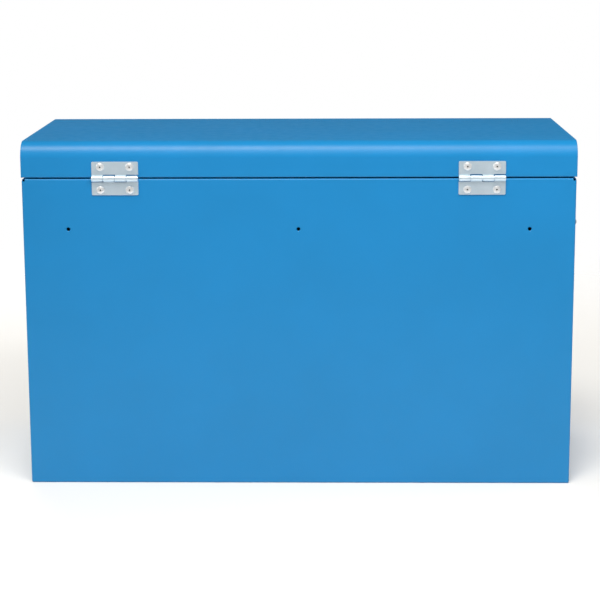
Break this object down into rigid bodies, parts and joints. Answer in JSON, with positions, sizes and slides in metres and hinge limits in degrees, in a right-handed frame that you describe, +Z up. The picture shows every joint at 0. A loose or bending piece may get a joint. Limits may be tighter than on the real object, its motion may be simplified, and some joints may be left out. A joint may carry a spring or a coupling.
{
  "type": "portable tool box",
  "caption": "Steel tool box with drawers on ball slides under an open till, a hinged lid with stays, a cam lock and drop handles on its sides.",
  "frame": {"origin": "the middle of the box's footprint, on the floor", "axes": "+X across the width to the right of a person at the drawers, +Y from the drawers to the back wall, +Z up"},
  "size_m": [0.5324, 0.2346, 0.325],
  "materials": {
    "blue_coat": "textured satin powder coat",
    "zinc_steel": "bright zinc plate",
    "rivet_metal": "plain drawn",
    "eva_mat": "matt foam sheet",
    "black_rubber": "matt moulded",
    "chrome_plate": "bright nickel-chrome plate",
    "aluminium_trim": "satin anodised",
    "dark_screw": "black oxide"
  },
  "bodies": {
    "case": {"case_shell": "blue_coat", "base_pan": "blue_coat", "till_front": "blue_coat", "till_floor": "blue_coat", "till_mat": "eva_mat", "slide_uprights_left": "zinc_steel", "slide_uprights_right": "zinc_steel", "lid_bumpers": "black_rubber", "hinge_leaf_lower_left": "zinc_steel", "hinge_leaf_lower_right": "zinc_steel", "hinge_pin_left": "zinc_steel", "hinge_pin_right": "zinc_steel", "hinge_rivets_case": "rivet_metal", "stay_studs_case": "zinc_steel", "lock_barrel": "chrome_plate", "lock_nut": "zinc_steel", "handle_plate_left": "chrome_plate", "handle_plate_right": "chrome_plate", "handle_rivets": "rivet_metal", "bottom_drawer_rails": "zinc_steel", "middle_drawer_rails": "zinc_steel", "top_drawer_rails": "zinc_steel"},
    "lid": {"lid_shell": "blue_coat", "lid_end_left": "blue_coat", "lid_end_right": "blue_coat", "lid_strike": "zinc_steel", "hinge_leaf_upper_left": "zinc_steel", "hinge_leaf_upper_right": "zinc_steel", "hinge_rivets_lid": "rivet_metal", "stay_studs_lid": "zinc_steel"},
    "stay_left": {"stay_arm_left": "zinc_steel"},
    "stay_right": {"stay_arm_right": "zinc_steel"},
    "lock": {"lock_plug": "chrome_plate", "lock_cam": "zinc_steel", "lock_cam_screw": "dark_screw"},
    "handle_left": {"handle_bail_left": "chrome_plate", "handle_grip_left": "black_rubber"},
    "handle_right": {"handle_bail_right": "chrome_plate", "handle_grip_right": "black_rubber"},
    "bottom_drawer": {"bottom_drawer_front": "blue_coat", "bottom_drawer_pan": "blue_coat", "bottom_drawer_pull": "aluminium_trim", "bottom_drawer_mat": "eva_mat", "bottom_drawer_runners": "zinc_steel"},
    "bottom_cage_left": {"bottom_ball_cage_left": "zinc_steel"},
    "bottom_cage_right": {"bottom_ball_cage_right": "zinc_steel"},
    "middle_drawer": {"middle_drawer_front": "blue_coat", "middle_drawer_pan": "blue_coat", "middle_drawer_pull": "aluminium_trim", "middle_drawer_mat": "eva_mat", "middle_drawer_runners": "zinc_steel"},
    "middle_cage_left": {"middle_ball_cage_left": "zinc_steel"},
    "middle_cage_right": {"middle_ball_cage_right": "zinc_steel"},
    "top_drawer": {"top_drawer_front": "blue_coat", "top_drawer_pan": "blue_coat", "top_drawer_pull": "aluminium_trim", "top_drawer_mat": "eva_mat", "top_drawer_runners": "zinc_steel"},
    "top_cage_left": {"top_ball_cage_left": "zinc_steel"},
    "top_cage_right": {"top_ball_cage_right": "zinc_steel"}
  },
  "joints": [
    {"name": "lid_hinge", "type": "hinge", "parent": "case", "child": "lid", "pos_m": [0, 0.11285, 0.2917], "axis": [-1, 0, 0], "range_deg": [0, 100]},
    {"name": "stay_left_turn", "type": "hinge", "parent": "lid", "child": "stay_left", "pos_m": [-0.24425, 0.06948, 0.3037], "axis": [-1, 0, 0], "range_deg": [-50, 0]},
    {"name": "stay_right_turn", "type": "hinge", "parent": "lid", "child": "stay_right", "pos_m": [0.24425, 0.06948, 0.3037], "axis": [-1, 0, 0], "range_deg": [-50, 0]},
    {"name": "lock_turn", "type": "hinge", "parent": "case", "child": "lock", "pos_m": [0, -0.1, 0.2621], "axis": [0, 1, 0], "range_deg": [0, 90]},
    {"name": "handle_left_swing", "type": "hinge", "parent": "case", "child": "handle_left", "pos_m": [-0.2612, 0, 0.2401], "axis": [0, 1, 0], "range_deg": [0, 90]},
    {"name": "handle_right_swing", "type": "hinge", "parent": "case", "child": "handle_right", "pos_m": [0.2612, 0, 0.2401], "axis": [0, -1, 0], "range_deg": [0, 90]},
    {"name": "bottom_drawer_slide", "type": "slide", "parent": "case", "child": "bottom_drawer", "axis": [0, -1, 0], "range_m": [0, 0.14]},
    {"name": "bottom_cage_left_roll", "type": "slide", "parent": "case", "child": "bottom_cage_left", "axis": [0, -1, 0], "range_m": [0, 0.07]},
    {"name": "bottom_cage_right_roll", "type": "slide", "parent": "case", "child": "bottom_cage_right", "axis": [0, -1, 0], "range_m": [0, 0.07]},
    {"name": "middle_drawer_slide", "type": "slide", "parent": "case", "child": "middle_drawer", "axis": [0, -1, 0], "range_m": [0, 0.14]},
    {"name": "middle_cage_left_roll", "type": "slide", "parent": "case", "child": "middle_cage_left", "axis": [0, -1, 0], "range_m": [0, 0.07]},
    {"name": "middle_cage_right_roll", "type": "slide", "parent": "case", "child": "middle_cage_right", "axis": [0, -1, 0], "range_m": [0, 0.07]},
    {"name": "top_drawer_slide", "type": "slide", "parent": "case", "child": "top_drawer", "axis": [0, -1, 0], "range_m": [0, 0.14]},
    {"name": "top_cage_left_roll", "type": "slide", "parent": "case", "child": "top_cage_left", "axis": [0, -1, 0], "range_m": [0, 0.07]},
    {"name": "top_cage_right_roll", "type": "slide", "parent": "case", "child": "top_cage_right", "axis": [0, -1, 0], "range_m": [0, 0.07]}
  ],
  "couplings": [
    {"joint": "stay_left_turn", "follows": "lid_hinge", "ratio": -0.5},
    {"joint": "stay_right_turn", "follows": "lid_hinge", "ratio": -0.5},
    {"joint": "bottom_cage_left_roll", "follows": "bottom_drawer_slide", "ratio": 0.5},
    {"joint": "bottom_cage_right_roll", "follows": "bottom_drawer_slide", "ratio": 0.5},
    {"joint": "middle_cage_left_roll", "follows": "middle_drawer_slide", "ratio": 0.5},
    {"joint": "middle_cage_right_roll", "follows": "middle_drawer_slide", "ratio": 0.5},
    {"joint": "top_cage_left_roll", "follows": "top_drawer_slide", "ratio": 0.5},
    {"joint": "top_cage_right_roll", "follows": "top_drawer_slide", "ratio": 0.5}
  ]
}
